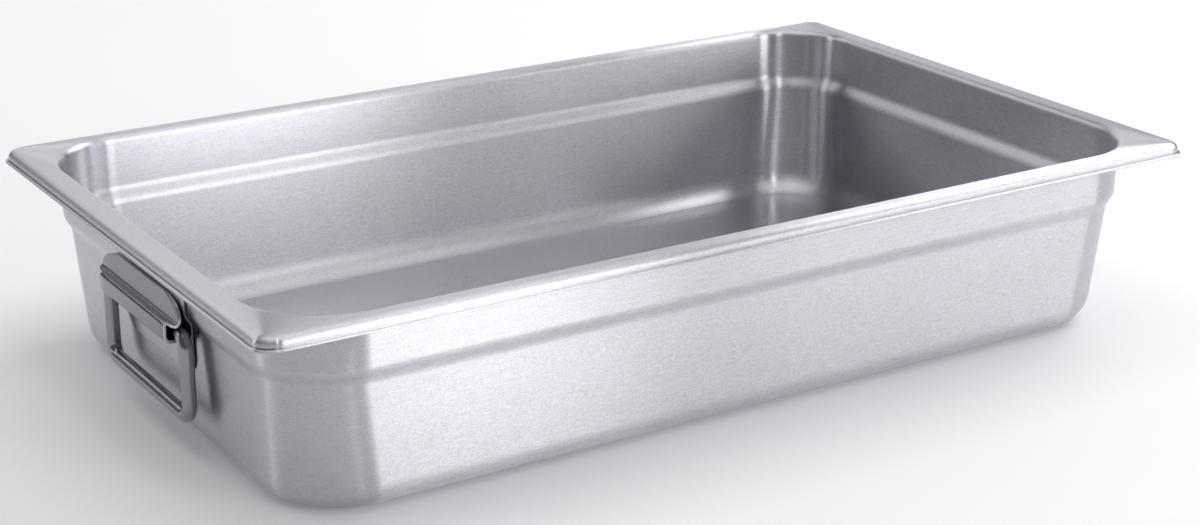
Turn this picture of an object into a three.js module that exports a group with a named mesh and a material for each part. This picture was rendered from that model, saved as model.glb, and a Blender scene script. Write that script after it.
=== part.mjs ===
// Deli food pan: a full-size gastronorm pan in stainless sheet with a drop handle on each short end.
// Millimetres. X runs along the pan, Y across it, Z up. The origin is under the middle of the base.
import * as THREE from 'three';

// Overall sizes of the pan.
const PAN_LENGTH = 530;
const PAN_WIDTH = 325;
const PAN_DEPTH = 100;
const SHEET = 0.8;

// Body: the upper band, the stacking shoulder, the tapered lower wall and the base radius.
const BAND_INSET_END = 15.3;
const BAND_INSET_SIDE = 12.1;
const BAND_CORNER = 42;
const BAND_TAPER = 0.6;
const SHOULDER_DEPTH = 26.5;
const SHOULDER_FALL = 10.5;
const SHOULDER_STEP = 3.8;
const WALL_TAPER = 0.055;
const BASE_RADIUS = 14;
const CORNER_GROWTH = 8;

// Rim: a flat flange, a rounded drop and a narrow lip turned outward.
const RIM_HEIGHT = 6;
const LIP_WIDTH = 1.6;
const LIP_SHEET = 1.0;
const DROP_RADIUS = 2.6;
const RIM_CORNER = 12;
const THROAT_RADIUS = 2.6;

// Handle: back plate, hinge hood and a closed bail of round rod. GAP parts pieces that touch.
const GAP = 0.3;
const PLATE_SHEET = 1.0;
const PLATE_DEPTH = 20;
const PLATE_HEIGHT = 42;
const PLATE_TOP_HALF = 47;
const PLATE_FOOT_HALF = 40.5;
const PLATE_CORNER = 10;
const HOOD_SHEET = 1.5;
const TONGUE_HEIGHT = 10.4;
const TONGUE_TOP_HALF = 26;
const RIDGE_HALF = 47.5;
const CHANNEL_HALF = 40;
const SHELF_DROP = 2.0;
const HOOD_BEND = 2.6;
const ROD_RADIUS = 3.5;
const BAIL_DROP = 41;
const BAIL_BEND = 7;
const PIVOT_DROP = 1.0;

// Play of the rod in the hood's channel: to the plate, to the front, under the ridge and at each end.
const PLATE_PLAY = 1.05;
const FRONT_PLAY = 2.4;
const HEAD_PLAY = 1.1;
const END_PLAY = 0.75;

const CORNER_STEPS = 10;
const ROD_SIDES = 16;
const BEND_STEPS = 6;

const steel = (name, color) => new THREE.MeshStandardMaterial({ name, color, metalness: 1, roughness: 0.35 });

function solid(name, points, faces, color) {
  const geometry = new THREE.BufferGeometry();
  geometry.setAttribute('position', new THREE.Float32BufferAttribute(points.flat(), 3));
  geometry.setIndex(faces.flat());
  geometry.computeVertexNormals();
  const mesh = new THREE.Mesh(geometry, steel(name, color));
  mesh.name = name;
  return mesh;
}

// One closed ring of points round a rounded rectangle at height z.
function ring(halfLength, halfWidth, corner, z) {
  const points = [];
  const cx = halfLength - corner;
  const cy = halfWidth - corner;
  const centres = [[cx, cy], [-cx, cy], [-cx, -cy], [cx, -cy]];
  centres.forEach(([x, y], k) => {
    for (let i = 0; i <= CORNER_STEPS; i += 1) {
      const a = (k + i / CORNER_STEPS) * Math.PI / 2;
      points.push([x + corner * Math.cos(a), y + corner * Math.sin(a), z]);
    }
  });
  return points;
}

// Skins a list of equal rings and closes the first and the last with a flat fan.
function loft(name, rings, color) {
  const points = rings.flat();
  const n = rings[0].length;
  const faces = [];
  for (let r = 0; r + 1 < rings.length; r += 1) {
    for (let j = 0; j < n; j += 1) {
      const a = r * n + j;
      const b = r * n + (j + 1) % n;
      faces.push([a, b, b + n], [a, b + n, a + n]);
    }
  }
  const first = points.length;
  points.push([0, 0, rings[0][0][2]]);
  const last = points.length;
  points.push([0, 0, rings.at(-1)[0][2]]);
  const base = (rings.length - 1) * n;
  for (let j = 0; j < n; j += 1) {
    const k = (j + 1) % n;
    faces.push([first, k, j], [last, base + j, base + k]);
  }
  return solid(name, points, faces, color);
}

// Outside of the wall as [inset from the band, height], from the flat base up to the rim's throat.
const shoulderTop = PAN_DEPTH - SHOULDER_DEPTH;
const shoulderFoot = shoulderTop - SHOULDER_FALL;
const taperAngle = Math.atan(WALL_TAPER);
const footInset = SHOULDER_STEP + BAND_TAPER;
const wallInset = (z) => {
  if (z <= shoulderFoot) return footInset + (shoulderFoot - z) * WALL_TAPER;
  if (z >= shoulderTop) return BAND_TAPER * (1 - (z - shoulderTop) / SHOULDER_DEPTH);
  const t = (z - shoulderFoot) / SHOULDER_FALL;
  return footInset - SHOULDER_STEP * t * t * (3 - 2 * t);
};
function wallProfile() {
  const out = [];
  const centre = wallInset(BASE_RADIUS) + BASE_RADIUS / Math.cos(taperAngle);
  for (let i = 0; i <= 7; i += 1) {
    const a = -Math.PI / 2 + (Math.PI / 2 - taperAngle) * i / 7;
    out.push([centre - BASE_RADIUS * Math.cos(a), BASE_RADIUS + BASE_RADIUS * Math.sin(a)]);
  }
  for (let i = 0; i <= 8; i += 1) {
    const z = shoulderFoot + SHOULDER_FALL * i / 8;
    out.push([wallInset(z), z]);
  }
  const throat = PAN_DEPTH - SHEET - THROAT_RADIUS;
  out.push([wallInset(throat), throat]);
  return out;
}

// The same profile one sheet further in, measured square to the wall.
function insideProfile(profile) {
  return profile.map(([q, z], i) => {
    const a = profile[Math.max(i - 1, 0)];
    const b = profile[Math.min(i + 1, profile.length - 1)];
    let dq = b[0] - a[0];
    let dz = b[1] - a[1];
    if (i === 0) { dq = -1; dz = 0; }
    const d = Math.hypot(dq, dz);
    return [q + SHEET * dz / d, z - SHEET * dq / d];
  });
}

// pan_body: outside from the base up, under the flange, round the lip, back over the top and down inside.
function panBody() {
  const bandLength = PAN_LENGTH / 2 - BAND_INSET_END;
  const bandWidth = PAN_WIDTH / 2 - BAND_INSET_SIDE;
  const wallRing = ([q, z]) => {
    const growth = CORNER_GROWTH * Math.max(0, 1 - z / shoulderFoot);
    return ring(bandLength - q, bandWidth - q, BAND_CORNER - q + growth, z);
  };
  const rimRing = (inset, z) => {
    const corner = Math.max(RIM_CORNER - inset, 1);
    return ring(PAN_LENGTH / 2 - inset, PAN_WIDTH / 2 - inset, corner, z);
  };
  const outside = wallProfile();
  const inside = insideProfile(outside);
  const rings = outside.map(wallRing);
  const under = PAN_DEPTH - SHEET;
  for (let i = 1; i <= 4; i += 1) {
    const a = i / 4 * Math.PI / 2;
    rings.push(wallRing([-THROAT_RADIUS * (1 - Math.cos(a)), under - THROAT_RADIUS + THROAT_RADIUS * Math.sin(a)]));
  }
  const drop = LIP_WIDTH + DROP_RADIUS;
  const innerDrop = DROP_RADIUS - SHEET;
  for (let i = 0; i <= 3; i += 1) {
    const a = i / 3 * Math.PI / 2;
    rings.push(rimRing(drop - innerDrop * Math.sin(a), under - innerDrop + innerDrop * Math.cos(a)));
  }
  const lipFoot = PAN_DEPTH - RIM_HEIGHT;
  rings.push(rimRing(LIP_WIDTH + SHEET, lipFoot));
  rings.push(rimRing(0.35, lipFoot));
  rings.push(rimRing(0, lipFoot + 0.35));
  rings.push(rimRing(0, lipFoot + LIP_SHEET - 0.3));
  rings.push(rimRing(0.3, lipFoot + LIP_SHEET));
  rings.push(rimRing(LIP_WIDTH - 0.3, lipFoot + LIP_SHEET));
  rings.push(rimRing(LIP_WIDTH, lipFoot + LIP_SHEET + 0.4));
  for (let i = 0; i <= 4; i += 1) {
    const a = i / 4 * Math.PI / 2;
    rings.push(rimRing(drop - DROP_RADIUS * Math.cos(a), PAN_DEPTH - DROP_RADIUS + DROP_RADIUS * Math.sin(a)));
  }
  const mouth = THROAT_RADIUS + SHEET;
  for (let i = 0; i <= 4; i += 1) {
    const a = (1 - i / 4) * Math.PI / 2;
    const q = -THROAT_RADIUS + mouth * Math.cos(a);
    rings.push(wallRing([q, PAN_DEPTH - mouth + mouth * Math.sin(a)]));
  }
  inside.slice(0, -1).reverse().forEach((p) => rings.push(wallRing(p)));
  return loft('pan_body', rings, 0xc3c6c8);
}

// A bent strip that faces -X. Each row is [front x, front z, back x, back z, half width].
function strip(rows) {
  const points = [];
  rows.forEach(([fx, fz, bx, bz, w]) => {
    points.push([fx, -w, fz], [fx, w, fz], [bx, w, bz], [bx, -w, bz]);
  });
  const faces = [];
  for (let r = 0; r + 1 < rows.length; r += 1) {
    for (let j = 0; j < 4; j += 1) {
      const a = r * 4 + j;
      const b = r * 4 + (j + 1) % 4;
      faces.push([a, b, b + 4], [a, b + 4, a + 4]);
    }
  }
  const e = (rows.length - 1) * 4;
  faces.push([0, 2, 1], [0, 3, 2], [e, e + 1, e + 2], [e, e + 2, e + 3]);
  return [points, faces];
}

// Back plate: follows the end wall from under the rim, over the shoulder, to a round-cornered foot.
const bandFace = -(PAN_LENGTH / 2 - BAND_INSET_END);
const wallFace = (z) => bandFace + wallInset(z);
const plateTop = PAN_DEPTH - PLATE_DEPTH;
const plateFoot = plateTop - PLATE_HEIGHT;
function backPlate() {
  const heights = [plateTop];
  for (let i = 0; i <= 7; i += 1) heights.push(shoulderTop - SHOULDER_FALL * i / 7);
  for (let i = 0; i <= 6; i += 1) {
    heights.push(plateFoot + PLATE_CORNER * (1 - Math.sin(i / 6 * Math.PI / 2)));
  }
  return strip(heights.map((z) => {
    const slope = (PLATE_TOP_HALF - PLATE_FOOT_HALF) / PLATE_HEIGHT;
    let w = PLATE_FOOT_HALF + (z - plateFoot) * slope;
    const up = plateFoot + PLATE_CORNER - z;
    if (up > 0) w -= PLATE_CORNER - Math.sqrt(Math.max(PLATE_CORNER ** 2 - up ** 2, 0));
    const back = wallFace(z) - GAP;
    return [back - PLATE_SHEET, z, back, z, w];
  }));
}

// The hinge axis lies just below the shoulder, one rod and its play clear of the back plate.
const pivotZ = shoulderFoot - PIVOT_DROP;
const pivotX = wallFace(pivotZ) - GAP - PLATE_SHEET - PLATE_PLAY - ROD_RADIUS;

// Hinge hood: a round-topped tongue, a ridge, a shelf and a channel that closes under the rod.
function hingeHood() {
  const ridge = pivotZ + ROD_RADIUS + HEAD_PLAY + HOOD_SHEET;
  const tongueTop = ridge + TONGUE_HEIGHT;
  const back = wallFace(tongueTop) - GAP - PLATE_SHEET - GAP;
  const face = back - HOOD_SHEET;
  const reach = pivotX - ROD_RADIUS - FRONT_PLAY - HOOD_SHEET;
  const rows = [];
  for (let i = 0; i <= 6; i += 1) {
    const a = i / 6 * Math.PI / 2;
    const z = ridge + TONGUE_HEIGHT * Math.cos(a);
    const w = TONGUE_TOP_HALF + (RIDGE_HALF - TONGUE_TOP_HALF) * Math.sin(a);
    rows.push([face, z, back, i === 6 ? ridge - 0.4 : z, w]);
  }
  const front = ridge - SHELF_DROP;
  rows[6][1] = ridge + 0.3;
  rows.push([face - 0.4, ridge - 0.1, back - 0.3, ridge - HOOD_SHEET, RIDGE_HALF - 0.6]);
  rows.push([reach + 1.4, front + 0.4, reach + 1.9, front - HOOD_SHEET + 0.7, CHANNEL_HALF + 1.2]);
  rows.push([reach + 0.3, front - 0.3, reach + 1.6, front - HOOD_SHEET + 0.2, CHANNEL_HALF + 0.2]);
  rows.push([reach, front - 1.4, reach + HOOD_SHEET, front - HOOD_SHEET - 0.4, CHANNEL_HALF]);
  const floor = pivotZ - ROD_RADIUS - GAP;
  const inner = HOOD_BEND - HOOD_SHEET;
  for (let i = 0; i <= 4; i += 1) {
    const a = i / 4 * Math.PI / 2;
    const c = Math.cos(a);
    const s = Math.sin(a);
    const x = reach + HOOD_BEND;
    const z = floor + inner;
    rows.push([x - HOOD_BEND * c, z - HOOD_BEND * s, x - inner * c, z - inner * s, CHANNEL_HALF]);
  }
  const heel = wallFace(floor) - GAP - PLATE_SHEET - GAP;
  rows.push([heel, floor - HOOD_SHEET, heel, floor, CHANNEL_HALF]);
  return strip(rows);
}

// Bail: round rod bent to a closed rectangle, hanging plumb from the hinge axis.
function bail() {
  const x = pivotX;
  const top = pivotZ;
  const foot = pivotZ - BAIL_DROP;
  const half = CHANNEL_HALF + END_PLAY + BAIL_BEND;
  const corners = [[half, top, 0], [-half, top, 1], [-half, foot, 2], [half, foot, 3]];
  const path = [];
  corners.forEach(([y, z, k]) => {
    const cy = y - Math.sign(y) * BAIL_BEND;
    const cz = z === top ? z - BAIL_BEND : z + BAIL_BEND;
    for (let i = 0; i <= BEND_STEPS; i += 1) {
      const a = (k + i / BEND_STEPS) * Math.PI / 2;
      path.push([cy + BAIL_BEND * Math.cos(a), cz + BAIL_BEND * Math.sin(a), Math.cos(a), Math.sin(a)]);
    }
  });
  const points = [];
  path.forEach(([y, z, ny, nz]) => {
    for (let j = 0; j < ROD_SIDES; j += 1) {
      const a = j / ROD_SIDES * Math.PI * 2;
      const out = ROD_RADIUS * Math.cos(a);
      points.push([x + ROD_RADIUS * Math.sin(a), y + out * ny, z + out * nz]);
    }
  });
  const faces = [];
  const n = path.length;
  for (let i = 0; i < n; i += 1) {
    for (let j = 0; j < ROD_SIDES; j += 1) {
      const a = i * ROD_SIDES + j;
      const b = i * ROD_SIDES + (j + 1) % ROD_SIDES;
      const c = (i + 1) % n * ROD_SIDES + j;
      const d = (i + 1) % n * ROD_SIDES + (j + 1) % ROD_SIDES;
      faces.push([a, c, d], [a, d, b]);
    }
  }
  return [points, faces];
}

// Both ends carry the same three pieces, turned half round for the +X end.
const group = new THREE.Group();
group.name = 'deli_food_pan';
group.add(panBody());
const ends = [['left', 1], ['right', -1]];
ends.forEach(([side, s]) => {
  const place = ([points, faces]) => [points.map(([x, y, z]) => [s * x, s * y, z]), faces];
  group.add(solid(`${side}_back_plate`, ...place(backPlate()), 0xb4b7b9));
  group.add(solid(`${side}_hinge_hood`, ...place(hingeHood()), 0xa8abad));
  group.add(solid(`${side}_bail_handle`, ...place(bail()), 0xb0b3b5));
});

export default group;
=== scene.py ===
import math

import bpy
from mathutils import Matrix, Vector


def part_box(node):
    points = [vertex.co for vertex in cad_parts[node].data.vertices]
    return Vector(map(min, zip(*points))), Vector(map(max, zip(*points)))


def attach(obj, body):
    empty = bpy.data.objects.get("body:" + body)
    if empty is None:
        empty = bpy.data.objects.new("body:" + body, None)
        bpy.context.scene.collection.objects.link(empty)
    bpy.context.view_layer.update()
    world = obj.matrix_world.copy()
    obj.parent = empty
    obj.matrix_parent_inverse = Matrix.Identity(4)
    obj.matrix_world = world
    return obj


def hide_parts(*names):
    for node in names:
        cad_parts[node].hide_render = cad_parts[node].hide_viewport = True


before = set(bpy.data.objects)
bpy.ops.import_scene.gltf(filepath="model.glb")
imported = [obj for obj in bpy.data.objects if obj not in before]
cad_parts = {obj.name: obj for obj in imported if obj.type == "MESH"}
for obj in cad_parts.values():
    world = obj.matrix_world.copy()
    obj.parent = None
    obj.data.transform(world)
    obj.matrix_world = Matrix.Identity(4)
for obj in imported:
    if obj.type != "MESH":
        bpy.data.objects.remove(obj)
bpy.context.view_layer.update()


# ---------------------------------------------------------------- Pan body
# One sheet of stainless steel, deep drawn to a full-size food pan: flat base, tapered wall,
# stacking shoulder, upper band, and a flange that drops to a narrow lip. Walls are brushed level.
pan_low, pan_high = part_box("pan_body")
half_length = pan_high.x
half_width = pan_high.y
depth = pan_high.z
sheet = 0.0008
band_end_inset = 0.0153
band_side_inset = 0.0121
band_corner = 0.042
band_taper = 0.0006
shoulder_top = depth - 0.0265
shoulder_foot = shoulder_top - 0.0105
shoulder_step = 0.0038
wall_taper = 0.055
base_radius = 0.014
corner_growth = 0.008
rim_height = 0.006
lip_width = 0.0016
lip_sheet = 0.0010
drop_radius = 0.0026
drop_reach = 0.0040
drop_fall = 0.0033
flange_margin = 0.0008
lip_fillet = 0.0006
rim_corner = 0.012
throat_radius = 0.0026
shoulder_bend = 0.4


def wall_inset(z):
    """How far the outside of the wall lies in from the upper band at height z."""
    foot = shoulder_step + band_taper
    if z <= shoulder_foot:
        return foot + (shoulder_foot - z) * wall_taper
    if z >= shoulder_top:
        return band_taper * (1 - (z - shoulder_top) / (depth - shoulder_top))
    t = (z - shoulder_foot) / (shoulder_top - shoulder_foot)
    curve = 2 * shoulder_bend * (1 - shoulder_bend)
    if t < shoulder_bend:
        rise = t * t / curve
    elif t > 1 - shoulder_bend:
        rise = 1 - (1 - t) ** 2 / curve
    else:
        rise = (t - shoulder_bend / 2) / (1 - shoulder_bend)
    return foot - shoulder_step * rise


def arc(cx, cz, r, start, end, steps):
    """Points on a circle in the section, from one angle in degrees to another."""
    turns = [math.radians(start + (end - start) * i / steps) for i in range(steps + 1)]
    return [(cx + r * math.cos(a), cz + r * math.sin(a)) for a in turns]


def wall_row(inset, z):
    """One level of the wall: half length, half width, corner radius and height."""
    growth = corner_growth * max(0.0, 1 - z / shoulder_foot)
    corner = band_corner - inset + growth
    return (half_length - band_end_inset - inset, half_width - band_side_inset - inset, corner, z)


def rim_row(inset, z):
    """One level of the rim, measured in from the lip's outer edge."""
    return (half_length - inset, half_width - inset, max(rim_corner - inset, 0.001), z)


def wall_line():
    """Outside of the wall from the flat base to the throat under the flange."""
    lean = math.degrees(math.atan(wall_taper))
    centre = wall_inset(base_radius) + base_radius / math.cos(math.radians(lean))
    line = [(centre + 0.002, 0.0)]
    line += arc(centre, base_radius, base_radius, 270, 180 + lean, 12)
    line.append((wall_inset(base_radius + 0.001), base_radius + 0.001))
    line.append((wall_inset(shoulder_foot - 0.001), shoulder_foot - 0.001))
    for i in range(21):
        z = shoulder_foot + (shoulder_top - shoulder_foot) * i / 20
        line.append((wall_inset(z), z))
    throat = depth - sheet - throat_radius
    line.append((wall_inset(shoulder_top + 0.001), shoulder_top + 0.001))
    line.append((wall_inset(throat - 0.001), throat - 0.001))
    line.append((wall_inset(throat), throat))
    return line


def one_sheet_in(line):
    """The same line moved in by the sheet's thickness, square to the wall."""
    moved = []
    for i, (x, z) in enumerate(line):
        x0, z0 = line[max(i - 1, 0)]
        x1, z1 = line[min(i + 1, len(line) - 1)]
        step = math.hypot(x1 - x0, z1 - z0)
        moved.append((x + sheet * (z1 - z0) / step, z - sheet * (x1 - x0) / step))
    moved[0] = (line[0][0], sheet)
    moved[1] = (line[1][0], sheet)
    return moved


def flat_rows(row, parts):
    """Smaller and smaller copies of a level row, down to the middle of the base."""
    shares = [1 - (i + 1) / parts for i in range(parts)]
    return [(row[0] * s, row[1] * s, row[2] * s, row[3]) for s in shares]


def pan_section():
    """The whole sheet from the base's middle, up outside, over the rim and down inside."""
    outside = wall_line()
    inside = one_sheet_in(outside)
    under = depth - sheet
    outer = [wall_row(x, z) for x, z in outside]
    rows = flat_rows(outer[0], 4)[::-1] + outer
    for x, z in arc(throat_radius, under - throat_radius, throat_radius, 180, 90, 6)[1:]:
        rows.append(wall_row(-x, z))
    inner_drop = drop_radius - sheet
    edge = lip_width + drop_radius
    rows.append(rim_row(edge + 0.001, under))
    for x, z in arc(0, under - inner_drop, inner_drop, 90, 0, 6):
        rows.append(rim_row(edge - x, z))
    foot = depth - rim_height
    rows.append(rim_row(lip_width + sheet, foot + 0.0012))
    for x, z in arc(0.0004, foot + 0.0004, 0.0004, 180, 270, 3):
        rows.append(rim_row(lip_width + sheet - x, z))
    round_edge = lip_sheet / 2
    for x, z in arc(0, foot + round_edge, round_edge, -90, 90, 8):
        rows.append(rim_row(round_edge - x, z))
    for x, z in arc(lip_fillet, foot + lip_sheet + lip_fillet, lip_fillet, -90, -180, 4):
        rows.append(rim_row(lip_width + x, z))
    for x, z in arc(0, 0, 1, 180, 90, 14):
        rows.append(rim_row(lip_width + drop_reach * (1 + x), depth - drop_fall * (1 - z)))
    rows.append(rim_row(lip_width + drop_reach + flange_margin, depth))
    mouth = throat_radius + sheet
    rows.append(wall_row(-throat_radius - flange_margin, depth))
    for x, z in arc(0, depth - mouth, mouth, 90, 0, 8):
        rows.append(wall_row(x - throat_radius, z))
    inner = [wall_row(x, z) for x, z in inside[:-1]]
    rows += inner[::-1]
    rows += flat_rows(inner[0], 8)
    return rows


def brushed_steel(name, colour, roughness, anisotropy, brushing, edge=1.0, weld=None):
    """Stainless steel with level brushing on its walls and lengthways brushing on its flats.
    Cut edges' colour is multiplied by edge, which paints light on them: painted shade where it is
    below 1 and a painted highlight where it is above 1. Weld is where a spot weld sits on the grain
    map."""
    mat = bpy.data.materials.new(name)
    mat.use_nodes = True
    nodes = mat.node_tree.nodes
    link = mat.node_tree.links.new
    shader = nodes["Principled BSDF"]
    shader.inputs["Metallic"].default_value = 1.0
    shader.inputs["Anisotropic"].default_value = anisotropy
    shader.inputs["Anisotropic Rotation"].default_value = 0.25
    along = nodes.new("ShaderNodeTangent")
    along.direction_type = "UV_MAP"
    along.uv_map = "grain"
    link(along.outputs["Tangent"], shader.inputs["Tangent"])

    def add(kind, **inputs):
        node = nodes.new(kind)
        for key, value in inputs.items():
            socket = node.inputs[key.replace("_", " ")]
            if isinstance(value, bpy.types.NodeSocket):
                link(value, socket)
            else:
                socket.default_value = value
        return node

    def remap(value, low, high, start=0.0, stop=1.0):
        node = add("ShaderNodeMapRange", Value=value, From_Min=start, From_Max=stop)
        node.inputs["To Min"].default_value = low
        node.inputs["To Max"].default_value = high
        return node.outputs["Result"]

    def blend(operation, one, two):
        node = nodes.new("ShaderNodeMath")
        node.operation = operation
        for socket, value in zip(node.inputs, (one, two)):
            if isinstance(value, bpy.types.NodeSocket):
                link(value, socket)
            else:
                socket.default_value = value
        return node.outputs[0]

    def noise(stretch, detail):
        spread = add("ShaderNodeMapping", Vector=place, Scale=stretch)
        made = add("ShaderNodeTexNoise", Vector=spread.outputs[0], Scale=1.0, Detail=detail)
        made.inputs["Roughness"].default_value = 0.65
        return made.outputs["Fac"]

    def level_or_flat(wall, top):
        node = add("ShaderNodeMix", Factor=flat, A=wall, B=top)
        return node.outputs["Result"]

    place = nodes.new("ShaderNodeTexCoord").outputs["Object"]
    facing = nodes.new("ShaderNodeNewGeometry").outputs["Normal"]
    up = blend("ABSOLUTE", add("ShaderNodeSeparateXYZ", Vector=facing).outputs["Z"], 0)
    flat = remap(up, 0, 1, 0.6, 0.9)
    streaks = level_or_flat(noise((110, 110, 1700), 3), noise((90, 1500, 110), 3))
    scratches = level_or_flat(noise((420, 420, 4200), 2), noise((360, 4200, 420), 2))
    mottle = noise((1000, 1000, 1000), 2)
    cloud = noise((9, 9, 14), 3)
    grain = blend("ADD", blend("MULTIPLY", streaks, 0.3), blend("MULTIPLY", scratches, 0.3))
    grain = blend("ADD", grain, blend("MULTIPLY", mottle, 0.4))
    tone = remap(grain, 1 - 0.24 * brushing, 1 + 0.24 * brushing, 0.3, 0.7)
    tone = blend("MULTIPLY", tone, remap(cloud, 0.97, 1.03, 0.3, 0.7))
    # Painted light on cut faces: the edge factor darkens them (painted shade) on the plate and
    # brightens them (painted highlight) on the hood.
    cut = nodes.new("ShaderNodeAttribute")
    cut.attribute_name = "cut"
    tone = blend("MULTIPLY", tone, remap(cut.outputs["Fac"], 1.0, edge))
    rough = remap(grain, roughness - 0.05, roughness + 0.05, 0.3, 0.7)
    rough = blend("ADD", rough, remap(cloud, -0.02, 0.02, 0.3, 0.7))
    height = grain
    if weld:
        mark = nodes.new("ShaderNodeUVMap")
        mark.uv_map = "grain"
        off = nodes.new("ShaderNodeVectorMath")
        off.operation = "DISTANCE"
        link(mark.outputs["UV"], off.inputs[0])
        off.inputs[1].default_value = (*weld, 0)
        from_ring = blend("ABSOLUTE", blend("SUBTRACT", off.outputs["Value"], 0.016), 0)
        ring = remap(from_ring, 1, 0, 0, 0.008)
        tone = blend("MULTIPLY", tone, remap(ring, 1.0, 0.55))
        height = blend("SUBTRACT", grain, blend("MULTIPLY", ring, 3.0))
    paint = nodes.new("ShaderNodeVectorMath")
    paint.operation = "SCALE"
    paint.inputs[0].default_value = colour
    link(tone, paint.inputs["Scale"])
    link(paint.outputs[0], shader.inputs["Base Color"])
    link(rough, shader.inputs["Roughness"])
    bump = add("ShaderNodeBump", Height=height, Strength=0.3 * brushing, Distance=0.00004)
    link(bump.outputs["Normal"], shader.inputs["Normal"])
    return mat


def new_tree(name, sockets):
    """An empty Geometry Nodes tree with the named inputs, and its two end nodes."""
    tree = bpy.data.node_groups.new(name, "GeometryNodeTree")
    for label, kind, value in sockets:
        socket = tree.interface.new_socket(label, in_out="INPUT", socket_type=kind)
        if value is not None:
            socket.default_value = value
    tree.interface.new_socket("Geometry", in_out="OUTPUT", socket_type="NodeSocketGeometry")
    return tree, tree.nodes.new("NodeGroupInput"), tree.nodes.new("NodeGroupOutput")


def feed(tree, socket, value):
    """Links an output to an input, or sets the input to a plain value."""
    if isinstance(value, bpy.types.NodeSocket):
        tree.links.new(value, socket)
    elif value is not None:
        socket.default_value = value


def calc(tree, operation, a, b=None, c=None):
    """One Math node, with its inputs linked or set."""
    node = tree.nodes.new("ShaderNodeMath")
    node.operation = operation
    for socket, value in zip(node.inputs, (a, b, c)):
        feed(tree, socket, value)
    return node.outputs[0]


def finish_tree(tree, end, geometry, material):
    """Every tree ends with its instances made real and its material set."""
    real = tree.nodes.new("GeometryNodeRealizeInstances")
    tree.links.new(geometry, real.inputs[0])
    paint = tree.nodes.new("GeometryNodeSetMaterial")
    tree.links.new(real.outputs[0], paint.inputs["Geometry"])
    feed(tree, paint.inputs["Material"], material)
    tree.links.new(paint.outputs[0], end.inputs[0])


def from_tree(name, tree, values):
    """Runs a tree on an empty mesh and keeps the result as a plain mesh object."""
    piece = bpy.data.objects.new(name, bpy.data.meshes.new(name))
    bpy.context.scene.collection.objects.link(piece)
    builder = piece.modifiers.new("build", "NODES")
    builder.node_group = tree
    for item in tree.interface.items_tree:
        if item.in_out == "INPUT" and item.name in values:
            builder[item.identifier] = values[item.name]
    bpy.context.view_layer.update()
    graph = bpy.context.evaluated_depsgraph_get()
    made = bpy.data.meshes.new_from_object(piece.evaluated_get(graph))
    piece.modifiers.remove(builder)
    piece.data = made
    made.name = name
    return piece


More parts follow.
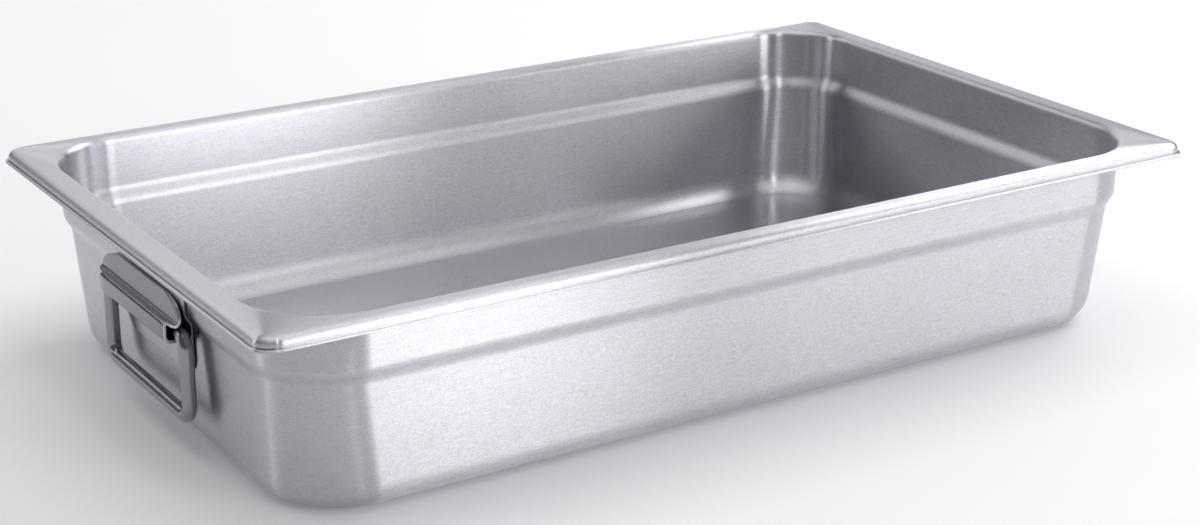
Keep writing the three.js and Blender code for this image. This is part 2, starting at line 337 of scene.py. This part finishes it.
def pan_tree():
    """Draws each row of the section round a rounded rectangle and skins the rows."""
    sockets = (
        ("Section", "NodeSocketObject", None),
        ("Corner Steps", "NodeSocketInt", 16),
        ("Corner Margin", "NodeSocketFloat", 0.001),
        ("Floor Level", "NodeSocketFloat", 0.001),
        ("Material", "NodeSocketMaterial", None),
        ("Floor Material", "NodeSocketMaterial", None),
    )
    tree, start, end = new_tree("pan_drawing", sockets)
    nodes = tree.nodes
    source = nodes.new("GeometryNodeObjectInfo")
    feed(tree, source.inputs["Object"], start.outputs["Section"])
    count = nodes.new("GeometryNodeAttributeDomainSize")
    feed(tree, count.inputs[0], source.outputs["Geometry"])
    steps = start.outputs["Corner Steps"]
    per_corner = calc(tree, "ADD", steps, 3)
    grid = nodes.new("GeometryNodeMeshGrid")
    feed(tree, grid.inputs["Vertices X"], calc(tree, "MULTIPLY_ADD", per_corner, 4, 1))
    feed(tree, grid.inputs["Vertices Y"], count.outputs["Point Count"])
    index = nodes.new("GeometryNodeInputIndex").outputs[0]
    rows = count.outputs["Point Count"]
    row = calc(tree, "MODULO", index, rows)
    column = calc(tree, "FLOOR", calc(tree, "DIVIDE", calc(tree, "ADD", index, 0.01), rows))
    column = calc(tree, "MODULO", column, calc(tree, "MULTIPLY", per_corner, 4))
    quarter = calc(tree, "FLOOR", calc(tree, "DIVIDE", calc(tree, "ADD", column, 0.01), per_corner))
    place = calc(tree, "SUBTRACT", column, calc(tree, "MULTIPLY_ADD", quarter, per_corner, 1))
    turn = calc(tree, "MAXIMUM", calc(tree, "MINIMUM", place, steps), 0)
    past = calc(tree, "SUBTRACT", place, turn)
    angle = calc(tree, "ADD", quarter, calc(tree, "DIVIDE", turn, steps))
    angle = calc(tree, "MULTIPLY", angle, math.pi / 2)
    sampled = []
    for kind in ("FLOAT_VECTOR", "FLOAT"):
        sample = nodes.new("GeometryNodeSampleIndex")
        sample.data_type = kind
        feed(tree, sample.inputs["Geometry"], source.outputs["Geometry"])
        feed(tree, sample.inputs["Index"], row)
        sampled.append(sample)
    feed(tree, sampled[0].inputs["Value"], nodes.new("GeometryNodeInputPosition").outputs[0])
    corner_name = nodes.new("GeometryNodeInputNamedAttribute")
    corner_name.inputs["Name"].default_value = "corner"
    feed(tree, sampled[1].inputs["Value"], corner_name.outputs["Attribute"])
    halves = nodes.new("ShaderNodeSeparateXYZ")
    feed(tree, halves.inputs[0], sampled[0].outputs["Value"])
    corner = sampled[1].outputs["Value"]
    margin = calc(tree, "MINIMUM", start.outputs["Corner Margin"], calc(tree, "MULTIPLY", corner, 0.1))
    past = calc(tree, "MULTIPLY", past, margin)
    cosine = calc(tree, "COSINE", angle)
    sine = calc(tree, "SINE", angle)
    diagonal = calc(tree, "MULTIPLY_ADD", quarter, math.pi / 2, 0.7)
    side_x = calc(tree, "SIGN", calc(tree, "COSINE", diagonal))
    side_y = calc(tree, "SIGN", calc(tree, "SINE", diagonal))
    x = calc(tree, "MULTIPLY", side_x, calc(tree, "SUBTRACT", halves.outputs["X"], corner))
    y = calc(tree, "MULTIPLY", side_y, calc(tree, "SUBTRACT", halves.outputs["Y"], corner))
    x = calc(tree, "MULTIPLY_ADD", corner, cosine, x)
    y = calc(tree, "MULTIPLY_ADD", corner, sine, y)
    x = calc(tree, "SUBTRACT", x, calc(tree, "MULTIPLY", past, sine))
    y = calc(tree, "ADD", y, calc(tree, "MULTIPLY", past, cosine))
    spot = nodes.new("ShaderNodeCombineXYZ")
    feed(tree, spot.inputs["X"], x)
    feed(tree, spot.inputs["Y"], y)
    feed(tree, spot.inputs["Z"], halves.outputs["Z"])
    shape = nodes.new("GeometryNodeSetPosition")
    feed(tree, shape.inputs["Geometry"], grid.outputs["Mesh"])
    feed(tree, shape.inputs["Position"], spot.outputs[0])
    grain = nodes.new("GeometryNodeStoreNamedAttribute")
    grain.data_type = "FLOAT2"
    grain.domain = "CORNER"
    grain.inputs["Name"].default_value = "grain"
    feed(tree, grain.inputs["Geometry"], shape.outputs[0])
    feed(tree, grain.inputs["Value"], grid.outputs["UV Map"])
    seam = nodes.new("GeometryNodeMergeByDistance")
    feed(tree, seam.inputs["Geometry"], grain.outputs[0])
    seam.inputs["Distance"].default_value = 0.000002
    smooth = nodes.new("GeometryNodeSetShadeSmooth")
    feed(tree, smooth.inputs["Geometry"], seam.outputs[0])
    where = nodes.new("ShaderNodeSeparateXYZ")
    feed(tree, where.inputs[0], nodes.new("GeometryNodeInputPosition").outputs[0])
    is_floor = calc(tree, "LESS_THAN", where.outputs["Z"], start.outputs["Floor Level"])
    finish_tree(tree, end, smooth.outputs[0], start.outputs["Material"])
    floor_paint = nodes.new("GeometryNodeSetMaterial")
    feed(tree, floor_paint.inputs["Geometry"], end.inputs[0].links[0].from_socket)
    feed(tree, floor_paint.inputs["Selection"], is_floor)
    feed(tree, floor_paint.inputs["Material"], start.outputs["Floor Material"])
    feed(tree, end.inputs[0], floor_paint.outputs[0])
    return tree


pan_rows = pan_section()
section = bpy.data.objects.new("pan_section", bpy.data.meshes.new("pan_section"))
section.data.from_pydata([(a, b, z) for a, b, c, z in pan_rows], [], [])
corners = section.data.attributes.new("corner", "FLOAT", "POINT")
corners.data.foreach_set("value", [c for a, b, c, z in pan_rows])
bpy.context.scene.collection.objects.link(section)
pan_steel = brushed_steel("pan_steel", (0.62, 0.622, 0.662), 0.33, 1.0, 1.0)
floor_steel = brushed_steel("pan_floor_steel", (0.62, 0.622, 0.662), 0.30, 0.0, 0.8)
pan_inputs = {
    "Section": section,
    "Corner Steps": 16,
    "Floor Level": sheet + 0.0006,
    "Material": pan_steel,
    "Floor Material": floor_steel,
}
pan = from_tree("pan", pan_tree(), pan_inputs)
bpy.data.objects.remove(section)
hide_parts("pan_body")
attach(pan, "pan")


# ------------------------------------------------------------ Back plates
# A thin stainless plate spot-welded to each end wall. It follows the wall over the shoulder,
# has a straight top edge under the rim and a foot with rounded corners.
plate_gap = 0.0003
plate_sheet = 0.0010
plate_drop = 0.020
plate_height = 0.042
plate_corner = 0.010
plate_top_half = 0.047
plate_foot_half = 0.0405
wall_out = half_length - band_end_inset


def strip_solid(name, rows, across, material, bevel):
    """A closed bent strip facing out: rows of front x, front z, back x, back z and half width."""
    points = []
    faces = []
    wide = across + 1
    ring = 2 * wide
    for fx, fz, bx, bz, w in rows:
        shares = [2 * j / across - 1 for j in range(wide)]
        points += [(fx, w * s, fz) for s in shares]
        points += [(bx, -w * s, bz) for s in shares]
    for r in range(len(rows) - 1):
        for j in range(ring):
            k = (j + 1) % ring
            faces.append((r * ring + j, r * ring + k, (r + 1) * ring + k, (r + 1) * ring + j))
    last = (len(rows) - 1) * ring
    for j in range(across):
        faces.append((j, ring - 1 - j, ring - 2 - j, j + 1))
        faces.append((last + j, last + j + 1, last + ring - 2 - j, last + ring - 1 - j))
    mesh = bpy.data.meshes.new(name)
    mesh.from_pydata(points, [], faces)
    grain = mesh.uv_layers.new(name="grain")
    for loop in mesh.loops:
        x, y, z = points[loop.vertex_index]
        grain.data[loop.index].uv = (y * 10, (z - x) * 10)
    # Cut faces are the sheet's edges. The material paints shade on them on the plate and a highlight
    # on them on the hood.
    cut = mesh.attributes.new("cut", "FLOAT", "FACE")
    for i in range(len(faces)):
        cut.data[i].value = i >= (len(rows) - 1) * ring or i % ring in (across, ring - 1)
    mesh.materials.append(material)
    mesh.shade_smooth()
    piece = bpy.data.objects.new(name, mesh)
    bpy.context.scene.collection.objects.link(piece)
    edge = piece.modifiers.new("round edges", "BEVEL")
    edge.width = bevel
    edge.segments = 3
    edge.angle_limit = math.radians(50)
    return piece


def at_both_ends(name, piece, node):
    """Keeps the -X piece and adds its twin, turned half round, for the +X end."""
    graph = bpy.context.evaluated_depsgraph_get()
    made = bpy.data.meshes.new_from_object(piece.evaluated_get(graph))
    material = piece.data.materials[0]
    bpy.data.objects.remove(piece)
    for side, way in (("left", 1), ("right", -1)):
        mesh = made.copy()
        for v in mesh.vertices:
            v.co.x *= way
            v.co.y *= way
        mesh.materials.clear()
        mesh.materials.append(material)
        end_piece = bpy.data.objects.new(side + "_" + name, mesh)
        bpy.context.scene.collection.objects.link(end_piece)
        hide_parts(side + "_" + node)
        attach(end_piece, side + "_bail" if node == "bail_handle" else "pan")


def plate_rows():
    """Level rows down the plate, with the foot's corners rounded."""
    top = depth - plate_drop
    foot = top - plate_height
    corner = plate_corner
    heights = [top - 0.0005 * i for i in range(2)]
    heights += [shoulder_top + 0.001]
    heights += [shoulder_top - (shoulder_top - shoulder_foot) * i / 12 for i in range(13)]
    heights += [shoulder_foot - 0.001, foot + corner + 0.004]
    heights += [foot + corner * (1 - math.sin(math.radians(90 * i / 10))) for i in range(11)]
    rows = []
    for z in heights:
        w = plate_foot_half + (z - foot) / (top - foot) * (plate_top_half - plate_foot_half)
        low = foot + corner - z
        if low > 0:
            w -= corner - math.sqrt(max(corner * corner - low * low, 0))
        back = wall_inset(z) - wall_out - plate_gap
        rows.append((back - plate_sheet, z, back, z, w))
    return rows


# Its cut edges are darkened to 0.3 times: painted shade for the shadow along the plate's edges, where
# it stands off the wall.
plate_steel = brushed_steel("plate_steel", (0.60, 0.602, 0.64), 0.31, 1.0, 0.8, 0.3, (0.025, 2.93))
plate = strip_solid("plate", plate_rows(), 24, plate_steel, 0.0003)
at_both_ends("plate", plate, "back_plate")


# ------------------------------------------------------------ Hinge hoods
# A heavier stainless strip, stamped and folded: a round-topped tongue on the back plate, a ridge, a
# shelf, and a channel that closes under the bail's upper bar. Its edges are tumbled round, and their
# cut faces are painted brighter: a painted highlight where the sheet's edge catches the light, partly
# their real worn shine.
hood_sheet = 0.0015
head_play = 0.0011
front_play = 0.0024
floor_play = 0.0003
tongue_height = 0.0104
tongue_top_half = 0.026
tongue_lean = 0.0017
ridge_half = 0.0475
ridge_fillet = 0.0015
shelf_drop = 0.0020
shelf_narrowing = 0.0062
brow_radius = 0.0020
brow_half = 0.0402
channel_bend = 0.0038
channel_half = 0.040
bail_low, bail_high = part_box("left_bail_handle")
rod_radius = (bail_high.x - bail_low.x) / 2
pivot_x = (bail_high.x + bail_low.x) / 2
pivot_z = bail_high.z - rod_radius


def thick_strip(path, thickness, widths):
    """Gives a line of (x, z) points a back line one thickness in, and a half width each."""
    rows = []
    for i, (x, z) in enumerate(path):
        x0, z0 = path[max(i - 1, 0)]
        x1, z1 = path[min(i + 1, len(path) - 1)]
        step = math.hypot(x1 - x0, z1 - z0)
        nx = -(z1 - z0) / step
        nz = (x1 - x0) / step
        rows.append((x, z, x + nx * thickness, z + nz * thickness, widths[i]))
    return rows


def hood_rows():
    """The hood's outside from the tongue's top down, over the shelf and round under the rod."""
    ridge = pivot_z + rod_radius + head_play + hood_sheet
    top = ridge + tongue_height
    straight = tongue_height - ridge_fillet
    face = wall_inset(top) - wall_out - 2 * plate_gap - plate_sheet - hood_sheet
    reach = pivot_x - rod_radius - front_play - hood_sheet
    path = []
    widths = []
    for i in range(15):
        a = math.radians(90 * i / 14)
        x = face - tongue_lean * (1 - math.cos(a))
        path.append((x, ridge + ridge_fillet + straight * math.cos(a)))
        widths.append(tongue_top_half + (ridge_half - tongue_top_half) * math.sin(a))
    tilt = math.degrees(math.atan2(tongue_lean, straight))
    fall = math.atan2(shelf_drop, face - reach)
    slope = math.degrees(fall)
    bend_x = face - tongue_lean - ridge_fillet
    for x, z in arc(bend_x, ridge + ridge_fillet, ridge_fillet, -tilt, -90 + slope, 7)[1:]:
        path.append((x, z))
        widths.append(ridge_half)
    shelf_x, shelf_z = path[-1]
    shelf_end = reach + brow_radius * (1 - math.sin(fall))
    for i in range(1, 5):
        t = i / 5
        x = shelf_x + (shelf_end - shelf_x) * t
        path.append((x, shelf_z + (x - shelf_x) * math.tan(fall)))
        widths.append(ridge_half - shelf_narrowing * t * t)
    brow_z = shelf_z + (shelf_end - shelf_x) * math.tan(fall) - brow_radius * math.cos(fall)
    for x, z in arc(reach + brow_radius, brow_z, brow_radius, 90 + slope, 180, 7):
        path.append((x, z))
        widths.append(brow_half)
    floor = pivot_z - rod_radius - floor_play
    bend_z = floor + channel_bend - hood_sheet
    for x, z in arc(reach + channel_bend, bend_z, channel_bend, 180, 270, 8):
        path.append((x, z))
        widths.append(channel_half)
    heel = wall_inset(floor) - wall_out - 2 * plate_gap - plate_sheet
    path.append((heel, floor - hood_sheet))
    widths.append(channel_half)
    return thick_strip(path, hood_sheet, widths)


# Its cut edges are brightened 2.8 times: a painted highlight, partly the real worn shine of the edge.
hood_steel = brushed_steel("hood_steel", (0.235, 0.237, 0.25), 0.22, 0.3, 0.4, 2.8)
hood = strip_solid("hood", hood_rows(), 12, hood_steel, 0.0005)
at_both_ends("hood", hood, "hinge_hood")


# ----------------------------------------------------------- Bail handles
# Round stainless rod, bent to a closed rectangle and butt-welded in its upper bar, which lies in the
# hood's channel. It hangs plumb here; the real handle swings out and up until its legs lie level.
bail_bend = 0.007


def bail_tree():
    """Sweeps a round rod along a rectangle with rounded corners."""
    sockets = (
        ("Width", "NodeSocketFloat", 0.0955),
        ("Height", "NodeSocketFloat", 0.041),
        ("Bend", "NodeSocketFloat", bail_bend),
        ("Rod Radius", "NodeSocketFloat", 0.0035),
        ("Centre", "NodeSocketVector", None),
        ("Material", "NodeSocketMaterial", None),
    )
    tree, start, end = new_tree("bail_bending", sockets)
    nodes = tree.nodes
    outline = nodes.new("GeometryNodeCurvePrimitiveQuadrilateral")
    feed(tree, outline.inputs["Width"], start.outputs["Width"])
    feed(tree, outline.inputs["Height"], start.outputs["Height"])
    bent = nodes.new("GeometryNodeFilletCurve")
    feed(tree, bent.inputs["Curve"], outline.outputs[0])
    bent.mode = "POLY"
    feed(tree, bent.inputs["Radius"], start.outputs["Bend"])
    bent.inputs["Count"].default_value = 12
    rod = nodes.new("GeometryNodeCurvePrimitiveCircle")
    rod.inputs["Resolution"].default_value = 32
    feed(tree, rod.inputs["Radius"], start.outputs["Rod Radius"])
    sweep = nodes.new("GeometryNodeCurveToMesh")
    feed(tree, sweep.inputs["Curve"], bent.outputs[0])
    feed(tree, sweep.inputs["Profile Curve"], rod.outputs[0])
    stand = nodes.new("GeometryNodeTransform")
    feed(tree, stand.inputs["Geometry"], sweep.outputs[0])
    feed(tree, stand.inputs["Translation"], start.outputs["Centre"])
    stand.inputs["Rotation"].default_value = (math.pi / 2, 0, math.pi / 2)
    smooth = nodes.new("GeometryNodeSetShadeSmooth")
    feed(tree, smooth.inputs["Geometry"], stand.outputs[0])
    finish_tree(tree, end, smooth.outputs[0], start.outputs["Material"])
    return tree


bail_steel = brushed_steel("bail_steel", (0.31, 0.312, 0.33), 0.24, 0.0, 0.1)
bail_sizes = {
    "Width": bail_high.y - bail_low.y - 2 * rod_radius,
    "Height": bail_high.z - bail_low.z - 2 * rod_radius,
    "Bend": bail_bend,
    "Rod Radius": rod_radius,
    "Centre": (pivot_x, 0.0, (bail_high.z + bail_low.z) / 2),
    "Material": bail_steel,
}
bail = from_tree("bail", bail_tree(), bail_sizes)
at_both_ends("bail", bail, "bail_handle")


# ------------------------------------------------- Floor, light and camera
# A plain white table under eight rectangular soft boxes, which give the steel its bright and dark
# bands. The camera stands a little over a metre away, above the near corner by the handle.
table_white = bpy.data.materials.new("table_white")
table_white.use_nodes = True
table_shader = table_white.node_tree.nodes["Principled BSDF"]
table_shader.inputs["Base Color"].default_value = (0.84, 0.84, 0.85, 1)
table_shader.inputs["Roughness"].default_value = 0.9
table_shader.inputs["Emission Color"].default_value = (0.97, 0.98, 1.0, 1)
table_shader.inputs["Emission Strength"].default_value = 0.10
bpy.ops.mesh.primitive_plane_add(size=12, location=(0, 0, -0.0002))
table_top = bpy.context.object
table_top.name = "table_top"
table_top.data.materials.append(table_white)

world = bpy.data.worlds.new("studio")
world.use_nodes = True
world.node_tree.nodes["Background"].inputs["Color"].default_value = (0.95, 0.97, 1.0, 1)
world.node_tree.nodes["Background"].inputs["Strength"].default_value = 0.15
bpy.context.scene.world = world


def soft_box(name, azimuth, elevation, distance, width, height, brightness):
    """A rectangular light aimed at the pan. Azimuth 0 is in front of the long side."""
    light = bpy.data.lights.new(name, "AREA")
    light.shape = "RECTANGLE"
    light.size = width
    light.size_y = height
    light.energy = brightness * math.pi * width * height
    lamp = bpy.data.objects.new(name, light)
    bpy.context.scene.collection.objects.link(lamp)
    a = math.radians(azimuth)
    e = math.radians(elevation)
    lamp.location = (
        distance * math.sin(a) * math.cos(e),
        -distance * math.cos(a) * math.cos(e),
        distance * math.sin(e) + 0.05,
    )
    lamp.rotation_euler = (math.pi / 2 - e, 0, a)
    lamp.visible_camera = False


soft_box("box_front", 20, 12, 2.0, 0.48, 0.80, 6.8)
soft_box("box_front_right", 44, 12, 2.0, 0.95, 0.85, 2.5)
soft_box("box_front_strip", -5, 40, 2.0, 0.12, 0.80, 8.0)
soft_box("box_left", -110, 20, 2.0, 0.30, 1.30, 2.0)
soft_box("box_back_left", -150, 36, 2.0, 1.50, 1.00, 1.1)
soft_box("box_right", 95, 38, 2.0, 1.40, 1.20, 3.6)
soft_box("box_back", 150, 20, 2.2, 2.60, 1.50, 0.75)
soft_box("box_top", 0, 90, 2.0, 2.40, 2.40, 1.20)

camera = bpy.data.objects.new("camera", bpy.data.cameras.new("camera"))
bpy.context.scene.collection.objects.link(camera)
camera.data.sensor_width = 36
camera.data.lens = 68.6
azimuth = math.radians(-32.19)
elevation = math.radians(19.80)
reach = 1.170
target = (-0.0204, -0.0358, 0.050)
back = (
    math.sin(azimuth) * math.cos(elevation),
    -math.cos(azimuth) * math.cos(elevation),
    math.sin(elevation),
)
camera.location = [t + reach * b for t, b in zip(target, back)]
camera.rotation_euler = (math.pi / 2 - elevation, 0, azimuth)
camera.data.clip_start = 0.01
bpy.context.scene.camera = camera
bpy.context.scene.view_settings.view_transform = "Standard"
